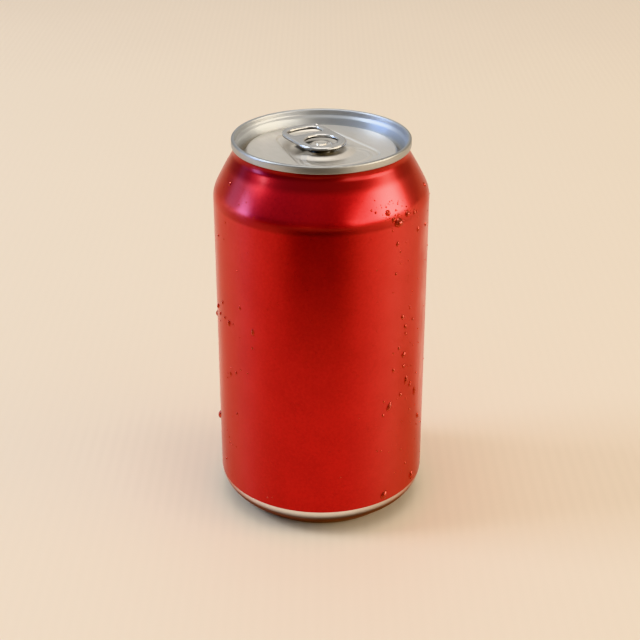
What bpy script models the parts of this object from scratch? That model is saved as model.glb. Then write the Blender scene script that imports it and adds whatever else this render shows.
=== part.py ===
"""A shut 355 ml drink can: drawn aluminium body, seamed lid with a stay-on tab.

The origin is the centre of the stand ring, on the surface that the can rests on. +Z runs up the
can, and the tab lies along Y with its finger end towards +Y and the mouth towards -Y.
"""

import math

import bmesh
import bpy
from mathutils import Vector

MM = 0.001
CLEARANCE = 0.3 * MM  # left between pieces that touch in the real can

# Can body: outside sizes of a standard 211 body with a 202 end
CAN_HEIGHT = 122.2 * MM
WALL_RADIUS = 33.1 * MM
WALL_BOTTOM = 10.0 * MM
WALL_TOP = 103.5 * MM
SHOULDER_BEND = 9.3 * MM
SHOULDER_ANGLE = 28.9  # degrees of the cone from upright
NECK_RADIUS = 26.3 * MM
NECK_WALL = 0.25 * MM

# Base: stand ring, chamfer up to the wall, and the dome inside the ring
BASE_BEND = 8.0 * MM
BASE_BEND_SWEEP = 50.0  # degrees that the bend turns in from the wall
FOOT_BEND = 3.0 * MM
FOOT_FLAT = 0.65 * MM
FOOT_INNER_BEND = 1.0 * MM
DOME_HEIGHT = 10.5 * MM
DOME_CURVATURE = 45.0 * MM
DOME_RADIUS = 22.0 * MM

# Lid: seam, chuck wall, countersink groove and panel
SEAM_RADIUS = 27.25 * MM
SEAM_HEIGHT = 2.55 * MM
SEAM_THICKNESS = 1.2 * MM
SEAM_FOOT_BEND = 0.45 * MM
CHUCK_STEP_DEPTH = 2.3 * MM  # below the can's top, where the steep wall meets the sloped one
CHUCK_STEP_RADIUS = 25.5 * MM
GROOVE_DEPTH = 6.5 * MM
GROOVE_RADIUS = 23.75 * MM
GROOVE_BEND = 0.6 * MM
PANEL_DEPTH = 3.9 * MM
PANEL_RADIUS = 22.9 * MM
PANEL_BEND = 0.7 * MM
LID_FLOOR_DEPTH = 7.0 * MM
LID_FLOOR_RADIUS = 24.65 * MM
LID_NECK_RADIUS = 25.75 * MM

# Recess pressed into the panel, and the bead round the mouth
RECESS_DEPTH = 0.4 * MM
RECESS_RADIUS = 17.9 * MM
RECESS_SIDE = 12.1 * MM  # half width abreast of the rivet
RECESS_TAPER = 0.155  # loss of half width for each unit towards the finger end
RECESS_ROUNDING = 14.0  # power of the smooth minimum that rounds the corners
RECESS_TURN = -3.5  # degrees that the recess is turned from the tab
BEAD_DEPTH = 0.25 * MM
BEAD_WIDTH = 0.8 * MM
BEAD_CENTRE = -9.0 * MM
BEAD_HALF_LENGTH = 6.2 * MM
BEAD_HALF_WIDTH = 10.6 * MM

# Rivet, drawn up out of the panel
BOSS_RADIUS = 3.6 * MM
BOSS_HEIGHT = 0.4 * MM
RIVET_SHAFT = 1.6 * MM
RIVET_HEAD = 3.0 * MM
RIVET_HEAD_BOTTOM = 2.3 * MM  # below the can's top
RIVET_HEAD_TOP = 1.84 * MM
RIVET_DIMPLE_RADIUS = 1.6 * MM
RIVET_DIMPLE_DEPTH = 0.16 * MM

# Tab
TAB_DEPTH = 1.2 * MM  # of its top face below the can's top
TAB_THICKNESS = 1.2 * MM
TAB_EDGE = 0.4 * MM
TAB_NOSE = 7.7 * MM
TAB_HALF_WIDTH = 7.6 * MM
TAB_HEEL_CENTRE = 8.0 * MM
TAB_HEEL_LENGTH = 7.75 * MM
TAB_HEEL_POWER = 2.4
HOLE_NEAR = 7.4 * MM
HOLE_LENGTH = 5.8 * MM
HOLE_HALF_WIDTH = 5.4 * MM
HOLE_CORNER = 0.9 * MM
HOLE_POWER = 2.4
SLOT_OUTER = 5.0 * MM
SLOT_WIDTH = 0.5 * MM
SLOT_END = 115.0  # degrees each side of the finger end's direction
ISLAND_THICKNESS = 0.6 * MM
ISLAND_HOLE = 1.95 * MM

BODY_STEPS = 64
RIVET_STEPS = 32

PANEL_TOP = CAN_HEIGHT - PANEL_DEPTH
SEAM_BOTTOM = CAN_HEIGHT - SEAM_HEIGHT
RED = (0.42, 0.008, 0.012, 1.0)
LID_METAL = (0.60, 0.58, 0.54, 1.0)
TAB_METAL = (0.62, 0.59, 0.53, 1.0)


def clear_scene():
    for obj in list(bpy.data.objects):
        bpy.data.objects.remove(obj, do_unlink=True)


def metal(name, colour, roughness, metallic):
    """Principled material of one piece."""
    material = bpy.data.materials.new(name)
    material.use_nodes = True
    shader = material.node_tree.nodes["Principled BSDF"]
    shader.inputs["Base Color"].default_value = colour
    shader.inputs["Roughness"].default_value = roughness
    shader.inputs["Metallic"].default_value = metallic
    return material


def arc(centre_a, centre_b, radius, start, end, steps):
    """Points of an arc, from the angle start to the angle end, both in degrees."""
    angles = [math.radians(start + (end - start) * i / steps) for i in range(steps + 1)]
    return [(centre_a + radius * math.cos(t), centre_b + radius * math.sin(t)) for t in angles]


def smooth(mesh):
    mesh.shade_smooth()
    mesh.set_sharp_from_angle(angle=math.radians(35))


def link(name, bm, material=None):
    """Object from a bmesh whose faces are turned outwards."""
    bmesh.ops.recalc_face_normals(bm, faces=bm.faces)
    mesh = bpy.data.meshes.new(name)
    bm.to_mesh(mesh)
    bm.free()
    smooth(mesh)
    if material:
        mesh.materials.append(material)
    obj = bpy.data.objects.new(name, mesh)
    bpy.context.scene.collection.objects.link(obj)
    return obj


def helper(obj):
    """Marks a cutter or a joined shape, which is no piece of its own."""
    obj.hide_render = True
    obj.display_type = "WIRE"
    return obj


def turned(name, profile, steps, material=None):
    """Solid of revolution from (radius, height) points that start and end on the axis."""
    bm = bmesh.new()
    verts = [bm.verts.new((radius, 0, height)) for radius, height in profile]
    edges = [bm.edges.new(pair) for pair in zip(verts, verts[1:])]
    bmesh.ops.spin(
        bm,
        geom=verts + edges,
        cent=(0, 0, 0),
        axis=(0, 0, 1),
        angle=math.tau,
        steps=steps,
        use_merge=True,
    )
    bmesh.ops.remove_doubles(bm, verts=bm.verts, dist=1e-6)
    bmesh.ops.dissolve_degenerate(bm, edges=bm.edges, dist=1e-7)
    return link(name, bm, material)


def ring_sector(name, section, start, sweep, steps):
    """Closed (radius, height) section carried round the axis from start, in degrees from +X."""
    bm = bmesh.new()
    turn = math.radians(start)
    face = bm.faces.new(
        [bm.verts.new((r * math.cos(turn), r * math.sin(turn), z)) for r, z in section]
    )
    whole = abs(sweep) >= 360.0
    if whole:
        edges = list(face.edges)
        verts = list(face.verts)
        bmesh.ops.delete(bm, geom=[face], context="FACES_ONLY")
        geometry = verts + edges
    else:
        geometry = list(face.verts) + list(face.edges) + [face]
    bmesh.ops.spin(
        bm,
        geom=geometry,
        cent=(0, 0, 0),
        axis=(0, 0, 1),
        angle=math.radians(sweep),
        steps=steps,
        use_merge=whole,
        use_duplicate=False,
    )
    bmesh.ops.remove_doubles(bm, verts=bm.verts, dist=1e-6)
    return link(name, bm)


def prism(name, outline, bottom, top, material=None):
    """Upright solid over a closed outline of (x, y) points."""
    bm = bmesh.new()
    base = bm.faces.new([bm.verts.new((x, y, bottom)) for x, y in outline])
    grown = bmesh.ops.extrude_face_region(bm, geom=[base])["geom"]
    raised = [item for item in grown if isinstance(item, bmesh.types.BMVert)]
    bmesh.ops.translate(bm, verts=raised, vec=Vector((0, 0, top - bottom)))
    return link(name, bm, material)


def loop_prism(name, outer, inner, bottom, top):
    """Upright wall between two closed outlines that have the same number of points."""
    bm = bmesh.new()
    rings = []
    for outline, height in ((outer, bottom), (outer, top), (inner, top), (inner, bottom)):
        rings.append([bm.verts.new((x, y, height)) for x, y in outline])
    count = len(outer)
    for first, second in zip(rings, rings[1:] + rings[:1]):
        for i in range(count):
            j = (i + 1) % count
            bm.faces.new((first[i], first[j], second[j], second[i]))
    return link(name, bm)


def boolean(target, tool, operation):
    modifier = target.modifiers.new(f"{operation.title()} {tool.name}", "BOOLEAN")
    modifier.operation = operation
    modifier.solver = "EXACT"
    modifier.object = helper(tool)


def superellipse(centre, half_length, half_width, power, start, end, steps):
    """Points (x, y) round (0, centre), half_length along Y, at angles in degrees from +X."""
    points = []
    for i in range(steps + 1):
        angle = math.radians(start + (end - start) * i / steps)
        c, s = math.cos(angle), math.sin(angle)
        x = half_width * math.copysign(abs(c) ** (2 / power), c)
        y = half_length * math.copysign(abs(s) ** (2 / power), s)
        points.append((x, centre + y))
    return points


def turned_outline(outline, degrees):
    """The outline turned about the origin."""
    c, s = math.cos(math.radians(degrees)), math.sin(math.radians(degrees))
    return [(x * c - y * s, x * s + y * c) for x, y in outline]


def body_profile():
    """From the middle of the dome out to the stand ring, up the wall, and into the neck."""
    dome_centre = DOME_HEIGHT - DOME_CURVATURE
    dome_edge = math.degrees(math.acos(DOME_RADIUS / DOME_CURVATURE))
    dome = arc(0, dome_centre, DOME_CURVATURE, 90, dome_edge, 5)
    bend_centre = WALL_RADIUS - BASE_BEND
    base_bend = arc(bend_centre, WALL_BOTTOM, BASE_BEND, -BASE_BEND_SWEEP, 0, 5)
    slope = math.radians(90 - BASE_BEND_SWEEP)
    chamfer_foot = base_bend[0][0] - base_bend[0][1] / math.tan(slope)
    foot_outer = chamfer_foot - FOOT_BEND * math.tan(slope / 2)
    foot = arc(foot_outer, FOOT_BEND, FOOT_BEND, 270, 360 - BASE_BEND_SWEEP, 3)
    foot_inner = foot_outer - FOOT_FLAT
    inside = arc(foot_inner, FOOT_INNER_BEND, FOOT_INNER_BEND, 180, 270, 3)
    shoulder_centre = WALL_RADIUS - SHOULDER_BEND
    shoulder = arc(shoulder_centre, WALL_TOP, SHOULDER_BEND, 0, SHOULDER_ANGLE, 5)
    cone = math.tan(math.radians(SHOULDER_ANGLE))
    neck_top = SEAM_BOTTOM - CLEARANCE
    crossing = shoulder[-1][1] + (shoulder[-1][0] - NECK_RADIUS) / cone
    neck_bend = (neck_top - crossing) / math.tan(math.radians(SHOULDER_ANGLE / 2))
    neck = arc(NECK_RADIUS + neck_bend, neck_top, neck_bend, 180 + SHOULDER_ANGLE, 180, 4)
    recess_floor = CAN_HEIGHT - LID_FLOOR_DEPTH - CLEARANCE
    recess = [
        (NECK_RADIUS - NECK_WALL, neck_top),
        (LID_FLOOR_RADIUS + CLEARANCE, recess_floor),
        (0, recess_floor),
    ]
    return dome + inside + foot + base_bend + shoulder + neck + recess


def lid_profile():
    """From the middle of the panel out over the groove, chuck wall and seam, and back below."""
    panel = arc(PANEL_RADIUS - PANEL_BEND, PANEL_TOP - PANEL_BEND, PANEL_BEND, 90, 0, 3)
    groove_centre = CAN_HEIGHT - GROOVE_DEPTH + GROOVE_BEND
    groove = arc(GROOVE_RADIUS, groove_centre, GROOVE_BEND, 180, 360, 6)
    chuck = [(CHUCK_STEP_RADIUS, CAN_HEIGHT - CHUCK_STEP_DEPTH)]
    crown_bend = SEAM_THICKNESS / 2
    crown_height = CAN_HEIGHT - crown_bend
    crown = arc(SEAM_RADIUS - crown_bend, crown_height, crown_bend, 180, 0, 8)
    foot_centre = SEAM_BOTTOM + SEAM_FOOT_BEND
    foot = arc(SEAM_RADIUS - SEAM_FOOT_BEND, foot_centre, SEAM_FOOT_BEND, 0, -90, 3)
    below = [
        (LID_NECK_RADIUS, SEAM_BOTTOM),
        (LID_FLOOR_RADIUS, CAN_HEIGHT - LID_FLOOR_DEPTH),
        (0, CAN_HEIGHT - LID_FLOOR_DEPTH),
    ]
    return [(0, PANEL_TOP)] + panel + groove + chuck + crown + foot + below


def rivet_profile():
    """Boss, shaft and flattened head, from inside the panel to the dimple on top."""
    boss_top = PANEL_TOP + BOSS_HEIGHT
    head_bottom = CAN_HEIGHT - RIVET_HEAD_BOTTOM
    head_top = CAN_HEIGHT - RIVET_HEAD_TOP
    return [
        (0, PANEL_TOP - 2 * RECESS_DEPTH),
        (BOSS_RADIUS, PANEL_TOP - 2 * RECESS_DEPTH),
        (BOSS_RADIUS, boss_top - BOSS_HEIGHT / 2),
        (BOSS_RADIUS - BOSS_HEIGHT / 2, boss_top),
        (RIVET_SHAFT, boss_top),
        (RIVET_SHAFT, head_bottom),
        (RIVET_HEAD, head_bottom),
        (RIVET_HEAD, (head_bottom + head_top) / 2),
        (RIVET_HEAD - BOSS_HEIGHT, head_top),
        (RIVET_DIMPLE_RADIUS, head_top),
        (RIVET_DIMPLE_RADIUS - RIVET_DIMPLE_DEPTH, head_top - RIVET_DIMPLE_DEPTH),
        (0, head_top - RIVET_DIMPLE_DEPTH),
    ]


def recess_outline(steps=72):
    """A circle cut by two tapered sides, its corners rounded by a smooth minimum of the two."""
    points = []
    side_angle = math.atan(RECESS_TAPER)
    for i in range(steps):
        angle = math.tau * i / steps
        reach = RECESS_RADIUS**-RECESS_ROUNDING
        for side in (1, -1):
            facing = side * math.cos(angle) * math.cos(side_angle)
            facing += math.sin(angle) * math.sin(side_angle)
            if facing > 0:
                distance = RECESS_SIDE * math.cos(side_angle) / facing
                reach += distance**-RECESS_ROUNDING
        radius = reach ** (-1 / RECESS_ROUNDING)
        points.append((radius * math.cos(angle), radius * math.sin(angle)))
    return turned_outline(points, RECESS_TURN)


def tab_outline():
    """Round nose about the rivet, straight sides, and a fuller rounding at the finger end."""
    nose = arc(0, 0, TAB_NOSE, 180, 360, 20)
    nose = [(x * TAB_HALF_WIDTH / TAB_NOSE, y) for x, y in nose]
    heel = superellipse(
        TAB_HEEL_CENTRE, TAB_HEEL_LENGTH, TAB_HALF_WIDTH, TAB_HEEL_POWER, 0, 180, 20
    )
    return nose + heel


def hole_outline():
    """A D: straight near side with small corners, and a far side like the tab's end."""
    near = HOLE_NEAR + HOLE_CORNER
    far = superellipse(
        near, HOLE_LENGTH - HOLE_CORNER, HOLE_HALF_WIDTH, HOLE_POWER, 0, 180, 14
    )
    inset = HOLE_HALF_WIDTH - HOLE_CORNER
    left = arc(-inset, near, HOLE_CORNER, 180, 270, 3)[1:]
    right = arc(inset, near, HOLE_CORNER, 270, 360, 3)[:-1]
    return far + left + right


def make_body(material):
    return turned("body", body_profile(), BODY_STEPS, material)


def make_lid(material):
    """Turned lid with the recess and the bead cut in, and the rivet joined on."""
    lid = turned("lid", lid_profile(), BODY_STEPS, material)
    above = CAN_HEIGHT
    recess = prism("recess_cutter", recess_outline(), PANEL_TOP - RECESS_DEPTH, above)
    boolean(lid, recess, "DIFFERENCE")
    half = BEAD_WIDTH / 2
    bead = [
        turned_outline(
            superellipse(
                BEAD_CENTRE, BEAD_HALF_LENGTH + grow, BEAD_HALF_WIDTH + grow, 2.2, 0, 360, 36
            )[:-1],
            RECESS_TURN,
        )
        for grow in (half, -half)
    ]
    floor = PANEL_TOP - RECESS_DEPTH
    bead_cutter = loop_prism("bead_cutter", bead[0], bead[1], floor - BEAD_DEPTH, floor + BEAD_DEPTH)
    boolean(lid, bead_cutter, "DIFFERENCE")
    boolean(lid, turned("rivet", rivet_profile(), RIVET_STEPS), "UNION")
    return lid


def make_tab(material):
    """Plate with rolled edges, a finger hole, and an island that the rivet holds."""
    top = CAN_HEIGHT - TAB_DEPTH
    bottom = top - TAB_THICKNESS
    tab = prism("tab", tab_outline(), bottom, top, material)
    boolean(tab, prism("hole_cutter", hole_outline(), bottom - MM, top + MM), "DIFFERENCE")
    well = arc(0, 0, SLOT_OUTER, 0, 360, 40)[:-1]
    boolean(tab, prism("well_cutter", well, bottom - MM, top + MM), "DIFFERENCE")

    edge = tab.modifiers.new("Rolled edges", "BEVEL")
    edge.limit_method = "ANGLE"
    edge.angle_limit = math.radians(50)
    edge.width = TAB_EDGE
    edge.segments = 2

    island_bottom = PANEL_TOP + BOSS_HEIGHT + CLEARANCE
    island_top = island_bottom + ISLAND_THICKNESS
    island_edge = SLOT_OUTER - SLOT_WIDTH
    washer = [
        (ISLAND_HOLE, island_bottom),
        (island_edge, island_bottom),
        (island_edge, island_top),
        (ISLAND_HOLE, island_top),
    ]
    island = ring_sector("island", washer, 0, 360, 40)
    bridge_section = [
        (island_edge - SLOT_WIDTH, island_bottom + 0.1 * MM),
        (SLOT_OUTER + MM, bottom + 0.1 * MM),
        (SLOT_OUTER + MM, top - 0.2 * MM),
        (SLOT_OUTER - 0.1 * MM, top - 0.3 * MM),
        (island_edge - SLOT_WIDTH, island_top - 0.1 * MM),
    ]
    bridge_sweep = 2 * (180 - SLOT_END)
    bridge = ring_sector("bridge", bridge_section, 270 - bridge_sweep / 2, bridge_sweep, 14)
    boolean(island, bridge, "UNION")
    boolean(tab, island, "UNION")
    return tab


def main():
    clear_scene()
    make_body(metal("Red lacquer", RED, 0.3, 0.4))
    make_lid(metal("Lid metal", LID_METAL, 0.35, 1.0))
    make_tab(metal("Tab metal", TAB_METAL, 0.3, 1.0))


main()
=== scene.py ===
"""Looks of a shut drink can: red lacquered body, seamed lid, stay-on tab and condensed water.

Each sub-assembly is a class that works its surfaces out as whole numpy arrays and dresses them.
Sizes are in metres in the frame's own axes: +Z runs up the can from the surface it stands on, and
the tab's finger end points to +Y.
"""

import logging
import math
from dataclasses import dataclass, field
from enum import Enum
from typing import Callable, Iterable

import bmesh
import bpy
import numpy as np
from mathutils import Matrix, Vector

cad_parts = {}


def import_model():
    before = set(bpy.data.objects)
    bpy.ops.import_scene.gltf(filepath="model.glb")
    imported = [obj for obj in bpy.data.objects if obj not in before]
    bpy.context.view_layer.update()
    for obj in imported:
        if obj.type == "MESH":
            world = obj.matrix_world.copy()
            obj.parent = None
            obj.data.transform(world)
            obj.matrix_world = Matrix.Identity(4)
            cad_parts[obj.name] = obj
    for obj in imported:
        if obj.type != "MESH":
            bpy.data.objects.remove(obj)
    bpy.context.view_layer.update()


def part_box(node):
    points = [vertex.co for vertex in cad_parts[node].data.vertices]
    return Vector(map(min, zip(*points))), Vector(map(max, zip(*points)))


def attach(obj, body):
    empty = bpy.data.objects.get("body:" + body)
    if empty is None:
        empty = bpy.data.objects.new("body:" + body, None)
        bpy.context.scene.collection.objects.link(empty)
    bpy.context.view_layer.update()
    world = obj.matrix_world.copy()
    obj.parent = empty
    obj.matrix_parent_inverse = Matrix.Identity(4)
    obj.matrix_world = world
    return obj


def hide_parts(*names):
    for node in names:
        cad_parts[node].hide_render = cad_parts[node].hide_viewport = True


Array = np.ndarray
Span = tuple[float, float]
Colour = tuple[float, float, float, float]
Light = tuple[float, float, float]
Setting = dict[str, object]
MM = 0.001
SEAM_HEIGHT = 2.55 * MM
PAST_THE_CAN = 1.0
LEAST_DIVISOR = 1e-3
LOG = logging.getLogger("can")


class Slot(Enum):
    """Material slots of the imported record."""

    LACQUER = "red_lacquer"
    LID = "lid_aluminium"
    TAB = "tab_aluminium"
    WATER = "water_drops"


class Around(Enum):
    """Whether the last column of a grid meets its first."""

    OPEN = "open"
    CLOSED = "closed"


def arc(centre: tuple[float, float], radius: float, start: float, end: float, count: int) -> Array:
    """Points of an arc: the centre plus the radius times cosine and sine of evenly spaced angles.

    Args:
        centre: The arc's centre in the plane.
        radius: Its radius.
        start: First angle in degrees.
        end: Last angle in degrees.
        count: Number of points, ends included.

    Returns:
        An array of shape (count, 2).
    """
    angle = np.radians(np.linspace(start, end, count))
    return np.stack([centre[0] + radius * np.cos(angle), centre[1] + radius * np.sin(angle)], 1)


def filled(points: Array, spacing: float) -> Array:
    """Polyline with points added on its straight runs so that none is longer than a spacing.

    Args:
        points: Corners, of shape (n, 2).
        spacing: Longest step that is left.

    Returns:
        The same line with evenly spaced points put in each run.
    """
    parts = []
    for first, last in zip(points, points[1:]):
        steps = max(1, int(np.ceil(np.hypot(*(last - first)) / spacing)))
        share = np.arange(steps)[:, None] / steps
        parts.append(first + share * (last - first))
    return np.concatenate([*parts, points[-1:]])


def revolved(profile: Array, steps: int) -> Array:
    """Surface of revolution: (radius cos angle, radius sin angle, height) over profile and angle.

    Args:
        profile: Radius and height of each profile point, of shape (rows, 2).
        steps: Number of columns round the axis.

    Returns:
        A grid of points of shape (rows, steps, 3).
    """
    angle = np.linspace(0, math.tau, steps, endpoint=False)
    radius, height = profile[:, 0, None], profile[:, 1, None]
    return np.stack(
        [radius * np.cos(angle), radius * np.sin(angle), height + np.zeros_like(angle)], 2
    )


def smooth_step(value: Array, low: float, high: float) -> Array:
    """Smooth ramp 3t^2 - 2t^3, where t runs from 0 at low to 1 at high and is clipped."""
    share = np.clip((value - low) / (high - low), 0, 1)
    return share * share * (3 - 2 * share)


def smooth_band(value: Array, rise: Span, fall: Span) -> Array:
    """Smooth band: from 0 to 1 over the first span of values and back to 0 over the second."""
    return smooth_step(value, *rise) * (1 - smooth_step(value, *fall))


def ridge(distance: Array, width: float) -> Array:
    """Rounded ridge cos^2 of height 1 on the line where distance is 0, nothing past half a width."""
    return np.cos(np.clip(distance / width, -0.5, 0.5) * math.pi) ** 2


def closed_normals(loop: Array) -> Array:
    """Outward unit normals of a closed loop that runs anticlockwise: the tangent turned clockwise."""
    tangent = np.roll(loop, -1, 0) - np.roll(loop, 1, 0)
    tangent /= np.linalg.norm(tangent, axis=1, keepdims=True)
    return np.stack([tangent[:, 1], -tangent[:, 0]], 1)


class SurfaceMesh:
    """Grids of points gathered into one closed mesh."""

    def __init__(self, name: str) -> None:
        """Starts an empty mesh.

        Args:
            name: Name of the object that is made.
        """
        self.name = name
        self.points: list[Array] = []
        self.quads: list[Array] = []
        self.count = 0

    def grid(self, points: Array, around: Around = Around.CLOSED) -> None:
        """Adds a quad between each two neighbouring rows and columns.

        Args:
            points: Grid of shape (rows, columns, 3).
            around: Whether the last column meets the first.
        """
        rows, columns = points.shape[:2]
        index = self.count + np.arange(rows * columns).reshape(rows, columns)
        if around is Around.CLOSED:
            index = np.concatenate([index, index[:, :1]], 1)
        corners = (index[:-1, :-1], index[:-1, 1:], index[1:, 1:], index[1:, :-1])
        self.points.append(points.reshape(-1, 3))
        self.quads.append(np.stack(corners, -1).reshape(-1, 4))
        self.count += rows * columns

    def build(self, material: bpy.types.Material, weld: float = 1e-7) -> bpy.types.Object:
        """Makes the object, welded at seams and poles, with its faces turned outwards.

        Args:
            material: The piece's finish.
            weld: Distance under which points are merged.

        Returns:
            The object, linked to the scene, at the origin.
        """
        points = np.concatenate(self.points).astype(np.float32)
        quads = np.concatenate(self.quads).astype(np.int32)
        mesh = bpy.data.meshes.new(self.name)
        mesh.vertices.add(len(points))
        mesh.vertices.foreach_set("co", points.ravel())
        mesh.loops.add(quads.size)
        mesh.loops.foreach_set("vertex_index", quads.ravel())
        mesh.polygons.add(len(quads))
        mesh.polygons.foreach_set("loop_start", np.arange(0, quads.size, 4, dtype=np.int32))
        mesh.update(calc_edges=True)
        bm = bmesh.new()
        bm.from_mesh(mesh)
        bmesh.ops.remove_doubles(bm, verts=bm.verts, dist=weld)
        bmesh.ops.dissolve_degenerate(bm, edges=bm.edges, dist=weld)
        bmesh.ops.recalc_face_normals(bm, faces=bm.faces)
        bm.to_mesh(mesh)
        bm.free()
        mesh.shade_smooth()
        mesh.materials.append(material)
        obj = bpy.data.objects.new(self.name, mesh)
        bpy.context.scene.collection.objects.link(obj)
        return obj


class Value:
    """One output socket, whose arithmetic adds Math nodes to its material."""

    def __init__(self, graph: "Graph", socket: bpy.types.NodeSocket) -> None:
        """Wraps a socket of a graph."""
        self.graph = graph
        self.socket = socket

    def math(self, operation: str, *others: "Value | float", first: "float | None" = None) -> "Value":
        """Adds a Math node.

        Args:
            operation: The Math node's operation.
            others: Its other operands, in order.
            first: A number that takes the first place, before this value.

        Returns:
            The node's result.
        """
        operands = [self, *others] if first is None else [first, self]
        inputs = dict(enumerate(operands))
        return self.graph.node("ShaderNodeMath", {"operation": operation}, inputs)

    def __add__(self, other: "Value | float") -> "Value":
        """Sum."""
        return self.math("ADD", other)

    def __sub__(self, other: "Value | float") -> "Value":
        """Difference."""
        return self.math("SUBTRACT", other)

    def __rsub__(self, other: float) -> "Value":
        """Number minus this."""
        return self.math("SUBTRACT", first=other)

    def __mul__(self, other: "Value | float") -> "Value":
        """Product."""
        return self.math("MULTIPLY", other)

    def __truediv__(self, other: "Value | float") -> "Value":
        """Quotient."""
        return self.math("DIVIDE", other)

    def __pow__(self, power: "Value | float") -> "Value":
        """Power."""
        return self.math("POWER", power)

    def __abs__(self) -> "Value":
        """Size without its sign."""
        return self.math("ABSOLUTE")

    def ramp(self, low: float, high: float, to_low: float = 0.0, to_high: float = 1.0) -> "Value":
        """Smooth ramp between two values of this one, clipped outside them.

        Args:
            low: Value where the ramp starts.
            high: Value where it ends.
            to_low: Result at the start.
            to_high: Result at the end.

        Returns:
            The Map Range node's result.
        """
        settings: Setting = {"interpolation_type": "SMOOTHSTEP"}
        inputs = {0: self, 1: low, 2: high, 3: to_low, 4: to_high}
        return self.graph.node("ShaderNodeMapRange", settings, inputs)

    def band(self, rise: Span, fall: Span) -> "Value":
        """Smooth band: from 0 to 1 over the first span of values, back to 0 over the second."""
        return self.ramp(*rise) * self.ramp(*fall, 1.0, 0.0)


class Graph:
    """Node tree of one material, made with Python expressions."""

    def __init__(self, name: str) -> None:
        """Makes the material with its Principled shader."""
        self.material = bpy.data.materials.new(name)
        self.material.use_nodes = True
        self.tree = self.material.node_tree
        self.shader = self.tree.nodes["Principled BSDF"]

    def node(self, kind: str, settings: Setting | None = None,
             inputs: dict[int | str, object] | None = None, output: int | str = 0) -> Value:
        """Adds one node.

        Args:
            kind: The node's type name.
            settings: Attributes, which are set first.
            inputs: Value or link of each socket, by index or name.
            output: Index or name of the output that is returned.

        Returns:
            That output.
        """
        node = self.tree.nodes.new(kind)
        for name, value in (settings or {}).items():
            setattr(node, name, value)
        for key, value in (inputs or {}).items():
            self.feed(node.inputs[key], value)
        return Value(self, node.outputs[output])

    def feed(self, socket: bpy.types.NodeSocket, value: object) -> None:
        """Links a Value to a socket, or sets a number or colour on it."""
        if isinstance(value, Value):
            self.tree.links.new(value.socket, socket)
        else:
            socket.default_value = value

    def dress(self, **sockets: object) -> bpy.types.Material:
        """Sets or links the shader's sockets, named with underscores for spaces.

        Returns:
            The finished material.
        """
        for name, value in sockets.items():
            title = name.replace("_", " ").title().replace("Ior", "IOR")
            self.feed(self.shader.inputs[title], value)
        return self.material

    def place(self) -> Value:
        """Object coordinates, in metres of the frame."""
        return self.node("ShaderNodeTexCoord", output="Object")

    def parts(self, vector: Value) -> tuple[Value, Value, Value]:
        """The three coordinates of a vector."""
        node = self.tree.nodes.new("ShaderNodeSeparateXYZ")
        self.feed(node.inputs[0], vector)
        return tuple(Value(self, socket) for socket in node.outputs)

    def joined(self, x: Value | float, y: Value | float, z: Value | float) -> Value:
        """Vector from three coordinates."""
        return self.node("ShaderNodeCombineXYZ", None, {0: x, 1: y, 2: z})

    def noise(self, vector: Value, scale: float, detail: float = 2.0, rough: float = 0.5) -> Value:
        """Noise from 0 to 1 with a number of cells in each metre.

        Args:
            vector: Where it is read.
            scale: Cells in a metre.
            detail: Number of finer layers.
            rough: Strength of the finer layers.

        Returns:
            The noise's value.
        """
        inputs = {"Vector": vector, "Scale": scale, "Detail": detail, "Roughness": rough}
        return self.node("ShaderNodeTexNoise", None, inputs)

    def mix(self, share: Value | float, first: object, second: object) -> Value:
        """Colour between two, second where share is 1."""
        settings: Setting = {"data_type": "RGBA"}
        return self.node("ShaderNodeMix", settings, {0: share, 6: first, 7: second}, output=2)

    def bump(self, height: Value, depth: float, strength: float = 1.0) -> Value:
        """Normal of a height that runs from 0 to 1.

        Args:
            height: The height.
            depth: Metres between 0 and 1.
            strength: Share of the effect.

        Returns:
            The Bump node's normal.
        """
        inputs = {"Strength": strength, "Distance": depth, "Height": height}
        return self.node("ShaderNodeBump", None, inputs)


class RoomGraph(Graph):
    """Node tree of the surroundings."""

    def __init__(self, name: str) -> None:
        """Makes the world with its Background shader."""
        self.world = bpy.data.worlds.new(name)
        self.world.use_nodes = True
        self.tree = self.world.node_tree
        self.shader = self.tree.nodes["Background"]


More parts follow.
